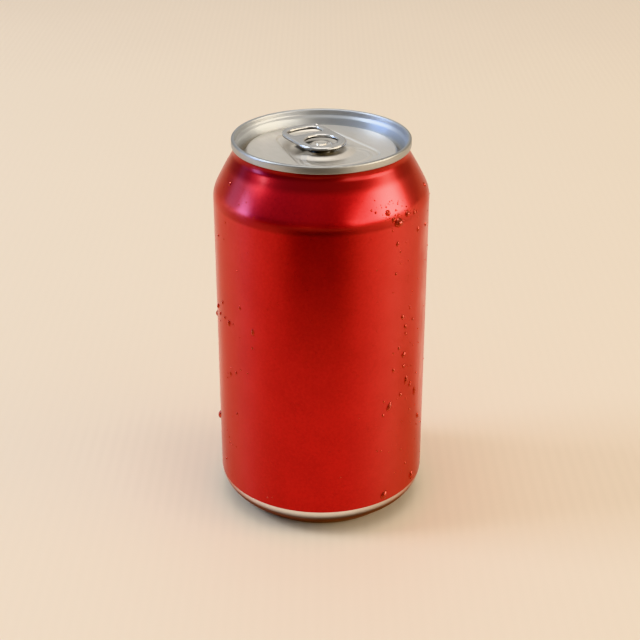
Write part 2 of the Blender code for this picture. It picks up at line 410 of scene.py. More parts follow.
@dataclass(frozen=True)
class RedLacquer:
    """Clear red lacquer over drawn aluminium, bare under the print's lower edge.

    The room that the can mirrors is simpler than the real one, so painted shade stands in for what is
    missing: darker tones on the neck, in the crease under the shoulder and on the lowest metal. Painted
    light makes the red paler round the sides, away from the front. Heights are over the surface that
    the can stands on, and angles are degrees from +X.
    """

    print_edge: float
    dome_radius: float
    red: Colour = (0.52, 0.015, 0.019, 1.0)
    deep_red: Colour = (0.44, 0.010, 0.014, 1.0)
    # Painted light: a paler red round the sides, away from the front.
    side_lit_red: Colour = (0.60, 0.068, 0.066, 1.0)
    # Painted shade on the neck under the seam, strongest towards the front.
    neck_shade_red: Colour = (0.26, 0.006, 0.008, 1.0)
    # Painted shade: the bare foot metal darkens towards the bottom.
    foot_shade: Colour = (0.17, 0.185, 0.19, 1.0)
    edge_red: Colour = (0.90, 0.38, 0.30, 1.0)
    bare: Colour = (0.80, 0.77, 0.73, 1.0)
    haze: Colour = (0.82, 0.52, 0.44, 1.0)
    # Front direction, from which the painted side light and the painted neck and crease shade are
    # measured.
    front: float = -127.0
    neck: float = 113.3 * MM
    neck_fade: float = 2.2 * MM
    # Painted shade in a band under the shoulder, towards the front.
    crease: float = 103.8 * MM
    crease_near: float = 1.2 * MM
    crease_far: float = 2.6 * MM
    crease_shade_share: float = 0.7
    foot_shade_below: float = 8.4 * MM
    foot_shade_fade: float = 2.4 * MM
    print_blur: float = 0.05 * MM
    grain_cells: float = 1100.0
    grain_depth: float = 0.006 * MM
    cloud_cells: float = 90.0
    drawn_cells: float = 1500.0
    drawn_stretch: float = 0.06
    smear_cells: float = 260.0
    smear_stretch: Span = (0.06, 0.25)
    haze_right: Span = (-46.0, 15.0)
    haze_left: Span = (158.0, 11.0)
    haze_rise: Span = (26 * MM, 40 * MM)
    haze_fall: Span = (94 * MM, 106 * MM)
    haze_cover: float = 0.42
    lacquer_rough: float = 0.25
    metal_rough: float = 0.2
    coat: float = 0.7
    coat_rough: float = 0.2
    coat_ior: float = 1.45

    def tone(self, graph: Graph, z: Value, facing: Value, grain: Value, cloud: Value) -> Value:
        """Red of the print: cloudy, with painted light that makes it paler round the sides and painted
        shade that darkens it on the neck and in the crease.

        Args:
            graph: The material's nodes.
            z: Height.
            facing: Cosine of the angle between the wall and the front.
            grain: Fine noise.
            cloud: Coarse noise.

        Returns:
            The colour.
        """
        red = graph.mix((grain * 0.6 + cloud * 0.4).ramp(0.35, 0.65), self.deep_red, self.red)
        # Painted light: paler red round the sides, away from the front.
        side_light = facing.ramp(0.60, 1.0, 1.0, 0.0) * (cloud * 0.5 + 0.6)
        red = graph.mix(side_light, red, self.side_lit_red)
        # Painted shade: darker red on the neck, towards the front.
        neck = z.ramp(self.neck, self.neck + self.neck_fade) * facing.ramp(0.0, 0.8)
        # Painted shade in the crease under the shoulder, towards the front.
        crease = z.band(
            (self.crease - self.crease_near, self.crease),
            (self.crease + self.crease_near, self.crease + self.crease_far),
        )
        dark = neck.math("MAXIMUM", crease * facing.ramp(0.35, 0.85) * self.crease_shade_share)
        return graph.mix(dark, red, self.neck_shade_red)

    def fog(self, graph: Graph, azimuth: Value, z: Value, cloud: Value) -> Value:
        """Share of the haze: near two angles, between two heights, broken up by upright smears.

        Args:
            graph: The material's nodes.
            azimuth: Angle round the can.
            z: Height.
            cloud: Coarse noise.

        Returns:
            The share.
        """
        round_stretch, up_stretch = self.smear_stretch
        smear = graph.noise(
            graph.joined(azimuth * round_stretch, z * up_stretch, 0.0), self.smear_cells
        )
        right, left = (
            abs(azimuth - math.radians(middle)).ramp(0, math.radians(reach), 1.0, 0.0)
            for middle, reach in (self.haze_right, self.haze_left)
        )
        level = z.band(self.haze_rise, self.haze_fall)
        broken = (smear * 0.5 + cloud * 0.5).ramp(0.32, 0.70)
        return (right + left).math("MINIMUM", 1.0) * level * broken * self.haze_cover

    def material(self) -> bpy.types.Material:
        """Print with its haze over the wall, and metal under the print's edge and in the dome.

        Returns:
            The material.
        """
        graph = Graph("Red lacquer on drawn aluminium")
        place = graph.place()
        x, y, z = graph.parts(place)
        grain = graph.noise(place, self.grain_cells, 3.0, 0.65)
        cloud = graph.noise(place, self.cloud_cells, 3.0)
        drawn = graph.noise(graph.joined(x, y, z * self.drawn_stretch), self.drawn_cells)
        reach = (x * x + y * y) ** 0.5
        turn = math.radians(self.front)
        facing = (x * math.cos(turn) + y * math.sin(turn)) / reach
        fog = self.fog(graph, y.math("ARCTAN2", x), z, cloud)
        red = graph.mix(fog, self.tone(graph, z, facing, grain, cloud), self.haze)
        outside = reach.ramp(self.dome_radius, self.dome_radius + MM)
        # Painted shade: bare metal darkens towards the bottom, except in the dome.
        lit = z.ramp(self.foot_shade_below - self.foot_shade_fade, self.foot_shade_below)
        bare = graph.mix(lit.math("MAXIMUM", 1 - outside), self.foot_shade, self.bare)
        edge = z.ramp(self.print_edge - self.print_blur, self.print_edge + self.print_blur)
        printed = edge * outside
        satin = grain * 0.08 + self.lacquer_rough + fog * 0.3
        return graph.dress(
            base_color=graph.mix(printed, bare, red),
            metallic=1.0 - fog * 0.6,
            roughness=printed * satin + (1 - printed) * (drawn * 0.1 + self.metal_rough),
            specular_tint=self.edge_red,
            coat_weight=printed * self.coat,
            coat_roughness=self.coat_rough,
            coat_ior=self.coat_ior,
            normal=graph.bump(grain * 0.7 + drawn * 0.3, self.grain_depth),
        )


@dataclass(frozen=True)
class RolledSheet:
    """Satin aluminium sheet with the fine straight grain that rolling leaves.

    Painted shade and painted reflection stand in for what the metal mirrors: shade over all that lies
    low, darker reflection tones on the walls past one radius and past a second, and shade in the gap
    under the tab. A tone whose radius or height is left out lies past the can or under it, and doesn't
    show.
    """

    name: str
    shade_from: float
    shade_to: float
    light: Colour = (0.86, 0.82, 0.765, 1.0)
    dark: Colour = (0.81, 0.77, 0.715, 1.0)
    smooth: float = 0.32
    rough: float = 0.38
    grain_cells: float = 1500.0
    grain_stretch: float = 0.12
    cloud_cells: float = 220.0
    wave_depth: float = 0.0012 * MM
    shade: Colour = (0.12, 0.12, 0.12, 1.0)
    wall_from: float = PAST_THE_CAN
    wall_fade: float = 0.6 * MM
    wall_rough: float = 0.08
    # Painted reflection: darker tones on the walls past wall_from and past wall_outer_from.
    inner_wall_reflection: Colour = (0.50, 0.515, 0.54, 1.0)
    outer_wall_reflection: Colour = (0.43, 0.43, 0.42, 1.0)
    wall_outer_from: float = PAST_THE_CAN
    wall_outer_fade: float = 0.7 * MM
    # Painted shade in the gap under the tab, out to gap_to.
    gap_shade: Colour = (0.10, 0.10, 0.10, 1.0)
    gap_to: float = 0.0
    gap_fade: float = 1.1 * MM
    gap_along: Span = (0.5 * MM, 2.0 * MM)
    gap_across: Span = (5.2 * MM, 6.4 * MM)
    under: float = 0.0
    under_fade: float = 0.02 * MM

    def material(self) -> bpy.types.Material:
        """Grain along Y over soft clouding, the slow waves of thin sheet, and the painted shade and
        reflection tones.

        Returns:
            The material.
        """
        graph = Graph(self.name)
        place = graph.place()
        x, y, z = graph.parts(place)
        streak = graph.noise(graph.joined(x, y * self.grain_stretch, z), self.grain_cells, 1.0)
        cloud = graph.noise(place, self.cloud_cells)
        share = (streak * 0.5 + cloud * 0.5).ramp(0.25, 0.75)
        underside = z.ramp(self.under - self.under_fade, self.under, 1.0, 0.0)
        # Painted shade below shade_from, lifted again on the underside.
        lit = z.ramp(self.shade_from, self.shade_to).math("MAXIMUM", underside)
        reach = (x * x + y * y) ** 0.5
        open_to_light = reach.ramp(self.gap_to - self.gap_fade, self.gap_to)
        for clear in (y.ramp(*self.gap_along, 1.0, 0.0), abs(x).ramp(*self.gap_across)):
            open_to_light = open_to_light.math("MAXIMUM", clear)
        wall = reach.ramp(self.wall_from, self.wall_from + self.wall_fade)
        outer = reach.ramp(self.wall_outer_from, self.wall_outer_from + self.wall_outer_fade)
        sheet = graph.mix(share, self.dark, self.light)
        # Painted reflection tones on the two walls.
        sheet = graph.mix(wall, sheet, self.inner_wall_reflection)
        sheet = graph.mix(outer, sheet, self.outer_wall_reflection)
        # Painted shade in the gap under the tab.
        sheet = graph.mix(open_to_light, self.gap_shade, sheet)
        satin = share * (self.smooth - self.rough) + self.rough
        return graph.dress(
            base_color=graph.mix(lit, self.shade, sheet),
            metallic=1.0,
            roughness=satin + wall * (1 - outer) * self.wall_rough,
            normal=graph.bump(cloud, self.wave_depth),
        )


@dataclass(frozen=True)
class ClearWater:
    """Still water on red lacquer, with faint ripples so that no two drops glint alike."""

    # Painted reflection: both tones are the wall's red that the drops mirror, mixed by ripple noise.
    thin: Colour = (0.80, 0.20, 0.15, 1.0)
    thick: Colour = (0.66, 0.09, 0.07, 1.0)
    mirrored: float = 0.5
    rough: float = 0.08
    water_ior: float = 1.333
    ripple_cells: float = 700.0
    ripple_depth: float = 0.01 * MM

    def material(self) -> bpy.types.Material:
        """Refracting water that also carries the mirrored red of the wall it magnifies.

        Returns:
            The material.
        """
        graph = Graph("Clear water")
        ripple = graph.noise(graph.place(), self.ripple_cells, 1.0)
        return graph.dress(
            base_color=graph.mix(ripple, self.thick, self.thin),
            metallic=self.mirrored,
            roughness=ripple * self.rough + self.rough,
            ior=self.water_ior,
            transmission_weight=1.0,
            normal=graph.bump(ripple, self.ripple_depth),
        )


@dataclass(frozen=True)
class PaleBoard:
    """Plain warm pale surface with faint ribs, as a card sweep has."""

    light: Colour = (0.87, 0.725, 0.575, 1.0)
    dark: Colour = (0.83, 0.69, 0.545, 1.0)
    rib_turn: float = -31.0
    rib_pitch: float = 3.8 * MM
    rib_depth: float = 0.02 * MM
    cloud_cells: float = 9.0

    def material(self) -> bpy.types.Material:
        """Matt cream colour with soft ribs and clouding.

        Returns:
            The material.
        """
        graph = Graph("Pale board")
        place = graph.place()
        x, y, _ = graph.parts(place)
        turn = math.radians(self.rib_turn)
        across = x * math.cos(turn) + y * math.sin(turn)
        ribs = (across * (math.tau / self.rib_pitch)).math("SINE") * 0.5 + 0.5
        cloud = graph.noise(place, self.cloud_cells)
        return graph.dress(
            base_color=graph.mix(ribs * 0.4 + cloud * 0.6, self.dark, self.light),
            roughness=cloud * 0.1 + 0.5,
            normal=graph.bump(ribs, self.rib_depth, 0.5),
        )


@dataclass
class CanBody:
    """The drawn body: stand ring, chamfer, wall, shoulder cone and neck."""

    radius: float
    seam_bottom: float
    wall_bottom: float = 10.0 * MM
    wall_top: float = 103.5 * MM
    shoulder_bend: float = 9.3 * MM
    shoulder_angle: float = 28.9
    shoulder_crown: float = 3.4
    neck_radius: float = 26.3 * MM
    neck_inner: float = 26.05 * MM
    recess_radius: float = 24.95 * MM
    recess_floor: float = 114.9 * MM
    neck_gap: float = 0.3 * MM
    neck_tuck: float = 0.25 * MM
    base_bend: float = 8.0 * MM
    base_sweep: float = 50.0
    foot_bend: float = 3.0 * MM
    foot_flat: float = 0.65 * MM
    foot_inner_bend: float = 1.0 * MM
    dome_height: float = 10.5 * MM
    dome_curvature: float = 45.0 * MM
    dome_radius: float = 22.0 * MM
    print_edge: float = 9.0 * MM
    wave_depth: float = 0.02 * MM
    wave_rise: float = 25 * MM
    wave_fall: float = 90 * MM
    spacing: float = 1.2 * MM
    columns: int = 288

    def outside(self) -> Array:
        """Radius and height from the stand ring up to the neck's top edge.

        Arcs that are tangent to the straight runs between them, as the forming tools leave.

        Returns:
            Profile points of shape (n, 2).
        """
        bend = arc(
            (self.radius - self.base_bend, self.wall_bottom), self.base_bend, -self.base_sweep, 0, 18
        )
        slope = math.radians(90 - self.base_sweep)
        foot_outer = bend[0, 0] - bend[0, 1] / math.tan(slope) - self.foot_bend * math.tan(slope / 2)
        foot = arc((foot_outer, self.foot_bend), self.foot_bend, 270, 360 - self.base_sweep, 10)
        inner = foot_outer - self.foot_flat
        inside = arc((inner, self.foot_inner_bend), self.foot_inner_bend, 180, 270, 8)
        return np.concatenate([inside, foot, bend, self.shoulder()])

    def shoulder(self) -> Array:
        """Radius and height from the wall's top up the cone and the neck.

        The cone is an arc too, a few degrees of a very large circle. Its radius R and the neck's
        bend B follow from where the neck must end: with the cone's normals at angles a and b,
        R (cos b - cos a) - B (1 - cos b) is the way inward and R (sin b - sin a) + B sin b the
        way up.
        """
        first = self.shoulder_angle - self.shoulder_crown
        last = self.shoulder_angle + self.shoulder_crown
        a, b = math.radians(first), math.radians(last)
        bend = arc((self.radius - self.shoulder_bend, self.wall_top), self.shoulder_bend, 0, first, 14)
        neck_top = self.seam_bottom - self.neck_gap
        ways = [self.neck_radius - bend[-1, 0], neck_top - bend[-1, 1]]
        shares = [
            [math.cos(b) - math.cos(a), math.cos(b) - 1],
            [math.sin(b) - math.sin(a), math.sin(b)],
        ]
        cone_bend, neck_bend = np.linalg.solve(shares, ways)
        centre = bend[-1] - cone_bend * np.array([math.cos(a), math.sin(a)])
        cone = arc(tuple(centre), cone_bend, first, last, 16)[1:-1]
        neck = arc((self.neck_radius + neck_bend, neck_top), neck_bend, 180 + last, 180, 14)
        return np.concatenate([bend, cone, neck])

    def profile(self) -> Array:
        """The whole closed profile: dome, outside, and the recess that takes the lid."""
        edge = math.degrees(math.acos(self.dome_radius / self.dome_curvature))
        dome = arc((0, self.dome_height - self.dome_curvature), self.dome_curvature, 90, edge, 16)
        tucked = self.seam_bottom + self.neck_tuck
        recess = np.array([
            (self.neck_radius, tucked),
            (self.neck_inner, tucked),
            (self.recess_radius, self.recess_floor),
            (0.0, self.recess_floor),
        ])
        return filled(np.concatenate([dome, self.outside(), recess]), self.spacing)

    def at(self, height: Array) -> tuple[Array, Array]:
        """Where the outside is at a height.

        Args:
            height: Heights over the surface that the can stands on.

        Returns:
            The radius there, and the tilt of the outward normal above level in radians.
        """
        line = self.outside()
        line = line[np.argmin(line[:, 1]):]
        line = line[np.concatenate([[True], np.diff(line[:, 1]) > 0])]
        slope = np.gradient(line[:, 0], line[:, 1])
        radius = np.interp(height, line[:, 1], line[:, 0])
        return radius, np.arctan(-np.interp(height, line[:, 1], slope))

    def build(self) -> bpy.types.Object:
        """Turned body, with the faint waviness of thin sheet on its wall.

        The radius loses the wave's depth times 1 less a sum of slow sines of angle and height, whose
        largest value is 1.6, and the loss fades out towards the ends of the wall.

        Returns:
            The piece.
        """
        grid = revolved(self.profile(), self.columns)
        angle = np.arctan2(grid[..., 1], grid[..., 0])
        height = grid[..., 2]
        wave = np.sin(3 * angle + 40 * height) + 0.6 * np.sin(5 * angle - 70 * height + 1.0)
        outer = np.hypot(grid[..., 0], grid[..., 1]) > self.neck_radius
        fade = smooth_band(
            height, (self.wall_bottom, self.wave_rise), (self.wave_fall, self.wall_top)
        )
        dent = self.wave_depth / self.radius * (1 - wave / 1.6) * fade * outer
        grid[..., :2] *= (1 - dent)[..., None]
        mesh = SurfaceMesh("can_body")
        mesh.grid(grid)
        body = mesh.build(RedLacquer(self.print_edge, self.dome_radius).material())
        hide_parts("body")
        return body


@dataclass
class PanelRelief:
    """What is pressed into the lid's panel, as a height over the panel's plane.

    Each ring round the mouth has a height, a distance outside the mouth's oval and a width. Each
    dimple has a height, its place across and along the tab, and a width. Both are in millimetres.
    """

    recess_depth: float = 0.4 * MM
    recess_radius: float = 17.9 * MM
    recess_side: float = 12.1 * MM
    recess_taper: float = 0.155
    recess_rounding: float = 14.0
    recess_ramp: float = 0.65 * MM
    turn: float = -3.5
    shift: float = 0.9 * MM
    mouth_centre: float = -8.9 * MM
    mouth_length: float = 6.9 * MM
    mouth_width: float = 11.0 * MM
    mouth_power: float = 2.3
    rings: tuple[tuple[float, float, float], ...] = (
        (-0.09, 0.0, 0.45), (0.09, -1.1, 1.3), (0.07, 0.9, 1.0), (-0.03, -2.4, 0.8),
    )
    rings_from: Span = (4.5 * MM, 6.5 * MM)
    recess_bead: float = 0.02 * MM
    recess_bead_out: float = 0.5 * MM
    recess_bead_width: float = 1.2 * MM
    dimples: tuple[tuple[float, float, float, float], ...] = (
        (0.08, 11.2, 3.2, 2.0), (0.06, 12.0, -5.6, 1.6),
    )
    lip_height: float = 0.85 * MM
    lip_rise: Span = (4.6 * MM, 6.2 * MM)
    lip_fall: Span = (8.2 * MM, 11.0 * MM)
    lip_side: Span = (60.0, 95.0)

    def local(self, x: Array, y: Array) -> tuple[Array, Array]:
        """Coordinates along the recess's own axes, turned and shifted from the tab's."""
        cosine, sine = math.cos(math.radians(self.turn)), math.sin(math.radians(self.turn))
        return x * cosine + y * sine - self.shift, y * cosine - x * sine

    def recess_distance(self, x: Array, y: Array) -> Array:
        """Distance inside the recess's edge, along the ray from the middle.

        The edge is the smooth minimum, as a sum of high inverse powers, of a circle and of two
        straight sides that close in towards the finger end.
        """
        lean = math.atan(self.recess_taper)
        reach = np.hypot(x, y) + 1e-9
        power = self.recess_rounding
        inverse = np.full_like(x, self.recess_radius**-power)
        for side in (1, -1):
            facing = (side * x * math.cos(lean) + y * math.sin(lean)) / reach
            toward = np.maximum(facing, LEAST_DIVISOR) / (self.recess_side * math.cos(lean))
            inverse += toward**power
        return inverse ** (-1 / power) - reach

    def oval_distance(self, x: Array, y: Array, grow: float) -> Array:
        """Distance outside an oval round the mouth that is larger by grow all round."""
        length, width = self.mouth_length + grow, self.mouth_width + grow
        scaled = (
            np.abs(x / width) ** self.mouth_power
            + np.abs((y - self.mouth_centre) / length) ** self.mouth_power
        ) ** (1 / self.mouth_power)
        reach = np.hypot(x, y - self.mouth_centre)
        return reach * (1 - 1 / np.maximum(scaled, LEAST_DIVISOR))

    def height(self, x: Array, y: Array) -> Array:
        """Sum of the recess, the score and beads round the mouth, the lip and the dimples.

        A dimple is a Gaussian of the distance to its middle.

        Args:
            x: Places across the tab.
            y: Places along the tab.

        Returns:
            The height over the panel's plane.
        """
        u, v = self.local(x, y)
        inside = self.recess_distance(u, v)
        level = -self.recess_depth * smooth_step(inside, 0, self.recess_ramp)
        bead = ridge(inside + self.recess_bead_out, self.recess_bead_width)
        level += self.recess_bead * bead
        clear_of_rivet = smooth_step(np.hypot(x, y), *self.rings_from)
        rings = sum(
            rise * ridge(self.oval_distance(u, v, grow * MM), width * MM)
            for rise, grow, width in self.rings
        )
        level += MM * rings * clear_of_rivet
        level += self.lip_height * self.lip(x, y)
        for rise, across, along, width in self.dimples:
            apart = (x - across * MM) ** 2 + (y - along * MM) ** 2
            level += rise * MM * np.exp(-apart / (width * MM) ** 2)
        return level

    def lip(self, x: Array, y: Array) -> Array:
        """Raised crescent under the tab's nose: a step up and down again along the radius."""
        along = np.degrees(np.arctan2(x, -y))
        full, gone = self.lip_side
        fade = smooth_band(along, (-gone, -full), self.lip_side)
        return smooth_band(np.hypot(x, y), self.lip_rise, self.lip_fall) * fade


@dataclass
class Lid:
    """Pressed end: panel, countersink groove, chuck wall and the double seam's crown.

    The chuck wall's points are millimetres outward and upward from its step.
    """

    top: float
    seam_radius: float
    seam_bottom: float
    seam_thickness: float = 1.2 * MM
    seam_foot_bend: float = 0.45 * MM
    step_depth: float = 2.3 * MM
    step_radius: float = 25.5 * MM
    groove_depth: float = 6.5 * MM
    groove_radius: float = 23.75 * MM
    groove_bend: float = 0.6 * MM
    panel_depth: float = 3.9 * MM
    panel_radius: float = 22.9 * MM
    panel_bend: float = 0.7 * MM
    wall_points: tuple[Span, ...] = ((-0.25, -0.6), (-0.02, 0.0), (0.40, 0.35), (0.53, 0.8))
    floor_depth: float = 7.0 * MM
    floor_radius: float = 24.65 * MM
    neck_radius: float = 25.75 * MM
    # Painted shade in the groove below the panel, painted reflection tones on the chuck wall and seam
    # past these radii, and painted shade under the tab out to gap_to.
    shade_depth: float = 6.8 * MM
    shade_below_panel: float = 1.5 * MM
    shade: Colour = (0.30, 0.29, 0.28, 1.0)
    wall_past_groove: float = 0.5 * MM
    wall_outer_inside: float = 0.9 * MM
    gap_to: float = 9.0 * MM
    panel_spacing: float = 0.17 * MM
    columns: int = 432
    relief: PanelRelief = field(default_factory=PanelRelief)

    @property
    def panel_top(self) -> float:
        """Height of the panel's plane."""
        return self.top - self.panel_depth

    def profile(self) -> Array:
        """Closed profile from the panel's middle out over the seam and back underneath."""
        panel_flat = self.panel_radius - self.panel_bend
        flat = np.stack([
            np.arange(0, panel_flat, self.panel_spacing),
            np.full(int(np.ceil(panel_flat / self.panel_spacing)), self.panel_top),
        ], 1)
        edge = arc((panel_flat, self.panel_top - self.panel_bend), self.panel_bend, 90, 0, 8)
        groove_height = self.top - self.groove_depth + self.groove_bend
        groove = arc((self.groove_radius, groove_height), self.groove_bend, 180, 348, 16)
        step = np.array([
            (self.step_radius + out * MM, self.top - self.step_depth + up * MM)
            for out, up in self.wall_points
        ])
        bend = self.seam_thickness / 2
        crown = arc((self.seam_radius - bend, self.top - bend), bend, 180, 0, 20)
        foot = arc(
            (self.seam_radius - self.seam_foot_bend, self.seam_bottom + self.seam_foot_bend),
            self.seam_foot_bend, 0, -90, 8,
        )
        below = np.array([
            (self.neck_radius, self.seam_bottom),
            (self.floor_radius, self.top - self.floor_depth),
            (0.0, self.top - self.floor_depth),
        ])
        rest = np.concatenate([edge, groove, step, crown, foot, below])
        return np.concatenate([flat, filled(rest, MM)])

    def build(self) -> bpy.types.Object:
        """Turned lid whose panel is raised and lowered by its relief.

        Returns:
            The piece.
        """
        profile = self.profile()
        grid = revolved(profile, self.columns)
        rows = np.arange(len(profile)) < np.argmax(profile[:, 0] > self.panel_radius - MM)
        panel = grid[rows]
        grid[rows, :, 2] += self.relief.height(panel[..., 0], panel[..., 1])
        mesh = SurfaceMesh("can_lid")
        mesh.grid(grid)
        # Painted shade and painted reflection tones in the lid's finish.
        finish = RolledSheet(
            "Lid sheet",
            shade_from=self.top - self.shade_depth,
            shade_to=self.panel_top - self.shade_below_panel,
            shade=self.shade,
            wall_from=self.groove_radius + self.wall_past_groove,
            wall_outer_from=self.seam_radius - self.wall_outer_inside,
            gap_to=self.gap_to,
        )
        lid = mesh.build(finish.material())
        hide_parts("lid")
        return lid


@dataclass
class Rivet:
    """Boss drawn up from the panel, spread over the tab's island, with a raised button."""

    panel_top: float
    boss_radius: float = 3.4 * MM
    boss_height: float = 0.4 * MM
    boss_shoulder: float = 0.1 * MM
    boss_bend: float = 0.3 * MM
    shaft_radius: float = 1.7 * MM
    island_top: float = 119.6 * MM
    head_radius: float = 3.0 * MM
    head_height: float = 0.22 * MM
    button_radius: float = 1.85 * MM
    button_height: float = 0.6 * MM
    button_bend: float = 0.22 * MM
    button_foot: float = 0.15 * MM
    button_hollow: tuple[Span, Span] = ((0.35 * MM, 0.03 * MM), (0.6 * MM, 0.10 * MM))
    columns: int = 96

    def build(self) -> bpy.types.Object:
        """Turned stud from inside the panel up to the slightly hollow top of the button.

        The hollow has a shallow ring, placed by its distance from the button's bend, and a flat
        middle, placed by its radius.

        Returns:
            The piece.
        """
        head = self.island_top + self.head_height
        crown = self.island_top + self.button_height
        rim = self.head_radius - self.head_height / 2
        button = self.button_radius - self.button_bend
        shoulder = (self.boss_radius - self.boss_bend, self.panel_top + self.boss_shoulder)
        foot = (self.button_radius + self.button_foot, head + self.button_foot)
        (ring, ring_drop), (middle, middle_drop) = self.button_hollow
        line = [
            [(0.0, self.panel_top - MM), (self.boss_radius, self.panel_top - MM)],
            arc(shoulder, self.boss_bend, 0, 90, 5),
            [(self.shaft_radius, self.panel_top + self.boss_height)],
            [(self.shaft_radius, self.island_top)],
            arc((rim, self.island_top + self.head_height / 2), self.head_height / 2, -90, 90, 9),
            arc(foot, self.button_foot, 270, 180, 5),
            arc((button, crown - self.button_bend), self.button_bend, 0, 90, 9),
            [(button - ring, crown - ring_drop)],
            [(middle, crown - middle_drop), (0.0, crown - middle_drop)],
        ]
        profile = np.concatenate([np.asarray(part) for part in line])
        mesh = SurfaceMesh("lid_rivet")
        mesh.grid(revolved(filled(profile, 0.3 * MM), self.columns))
        # Painted shade below the island's top, under the tab.
        rivet = mesh.build(RolledSheet(
            "Rivet metal", smooth=0.12, rough=0.18,
            shade_from=self.island_top - 0.5 * MM, shade_to=self.island_top + 0.05 * MM,
        ).material())
        return rivet


@dataclass
class Tab:
    """Stay-on tab: a sheet whose rim, finger hole and slot edge are rolled under."""

    top: float
    thickness: float = 1.2 * MM
    sheet: float = 0.45 * MM
    nose: float = 7.7 * MM
    half_width: float = 7.6 * MM
    heel_centre: float = 8.0 * MM
    heel_length: float = 7.75 * MM
    heel_power: float = 2.4
    split: float = 6.3 * MM
    hem: float = 0.6 * MM
    hem_return: float = 1.5 * MM
    return_lift: float = 0.06 * MM
    return_step: float = 0.1 * MM
    curl: float = 0.55 * MM
    curl_return: float = 1.15 * MM
    hole_centre: float = 10.3 * MM
    hole_half_width: float = 5.4 * MM
    hole_far: float = 2.9 * MM
    hole_near: float = 2.9 * MM
    hole_near_stretch: float = 2.4
    hole_power: float = 2.3
    hole_corner_power: float = 10
    slot_radius: float = 5.0 * MM
    slot_width: float = 1.0 * MM
    slot_end: float = 115.0
    island_hole: float = 1.6 * MM
    island_top: float = 119.6 * MM
    island_sheet: float = 0.55 * MM
    island_bend: float = 0.2 * MM
    island_fall: float = 0.45 * MM
    island_flat: float = 3.0 * MM
    island_rise: Span = (3.5 * MM, 5.5 * MM)
    island_tie: Span = (-3.0, 9.0)
    island_overlap: float = 0.62 * MM
    island_under: float = 0.02 * MM
    nib_x: float = 6.2 * MM
    nib_width: float = 0.45 * MM
    nib_reach: float = 0.35 * MM
    knurl_pitch: float = 0.36 * MM
    knurl_depth: float = 0.035 * MM
    knurl_across: Span = (6.6 * MM, 7.4 * MM)
    knurl_along: Span = (-3.5 * MM, -1.5 * MM)
    bead_radius: float = 6.35 * MM
    bead_depth: float = 0.05 * MM
    bead_width: float = 0.5 * MM
    bead_along: Span = (-3 * MM, 0.5 * MM)
    corner_steps: int = 13
    curl_steps: int = 9
    top_rows: int = 26
    under_rows: int = 8
    nose_columns: int = 420
    heel_columns: int = 380
    split_columns: int = 150

    def outline(self, count: int = 6000) -> Array:
        """Closed outline, anticlockwise from the right end of the split line.

        A superellipse round the finger end, straight sides, and an arc round the rivet.

        Args:
            count: Number of points on each end before the line is spaced evenly.

        Returns:
            Points of shape (n, 2), densely spaced.
        """
        angle = np.linspace(0, math.pi, count)
        power = 2 / self.heel_power
        heel = np.stack([
            self.half_width * np.sign(np.cos(angle)) * np.abs(np.cos(angle)) ** power,
            self.heel_centre + self.heel_length * np.abs(np.sin(angle)) ** power,
        ], 1)
        nose = np.stack([-self.half_width * np.cos(angle), -self.nose * np.sin(angle)], 1)
        start = np.array([[self.half_width, self.split]])
        left = np.array([[-self.half_width, self.split]])
        return np.concatenate([start, heel, left, nose, start])

    @staticmethod
    def evenly(line: Array, count: int) -> Array:
        """Points at equal distances along an open line, both ends included."""
        travelled = np.concatenate([[0], np.cumsum(np.hypot(*np.diff(line, axis=0).T))])
        wanted = np.linspace(0, travelled[-1], count)
        return np.stack([np.interp(wanted, travelled, line[:, i]) for i in (0, 1)], 1)

    def rim(self) -> tuple[Array, Array]:
        """Outline in two evenly spaced runs, round the finger end and round the nose.

        Returns:
            The finger end's run from right to left, and the nose's run from left to right.
        """
        line = self.outline()
        half = len(line) // 2
        heel = self.evenly(line[:half], self.heel_columns)
        return heel, self.evenly(line[half:], self.nose_columns)

    def hole_loop(self, direction: Array) -> Array:
        """Edge of the finger hole along rays from its middle.

        Smooth minimum of a superellipse, longer on the near side, and a straight near edge.

        Args:
            direction: Ray angles in radians.

        Returns:
            Points of shape (n, 2).
        """
        cosine, sine = np.cos(direction), np.sin(direction)
        length = np.where(sine > 0, self.hole_far, self.hole_near_stretch * self.hole_near)
        across = np.abs(cosine) / self.hole_half_width
        power, corner = self.hole_power, self.hole_corner_power
        inverse = (across**power + (np.abs(sine) / length) ** power) ** (1 / power)
        edge = np.maximum(-sine, 0) / self.hole_near
        reach = (inverse**corner + edge**corner) ** (-1 / corner)
        return np.stack([reach * cosine, self.hole_centre + reach * sine], 1)

    def slot_loop(self, direction: Array) -> Array:
        """Circle round the rivet that the slot follows."""
        return self.slot_radius * np.stack([np.cos(direction), np.sin(direction)], 1)

    def web_height(self, x: Array, y: Array) -> Array:
        """Top of the sheet: flat, with a shallow bead inside the rim of the nose."""
        reach = np.hypot(x, y)
        bead = ridge(reach - self.bead_radius, self.bead_width) * smooth_step(-y, *self.bead_along)
        return self.top - self.bead_depth * bead

    def roll(self, radius: float, back: float, count: int) -> Array:
        """Section of a rolled edge, as offset inward from the edge and depth below the top.

        Half a rounded bar: over the top corner, down the side, round the bottom, back under the
        sheet and up to the sheet's underside.

        Args:
            radius: Bend of the corners.
            back: How far the roll reaches inward.
            count: Points on each bend.

        Returns:
            Points of shape (n, 2).
        """
        over = arc((radius, radius), radius, 270, 180, count)
        under = arc((radius, self.thickness - radius), radius, 180, 90, count)
        ends = [(back, self.thickness - self.return_lift), (back + self.return_step, self.sheet)]
        return np.concatenate([over, under, np.array(ends)])

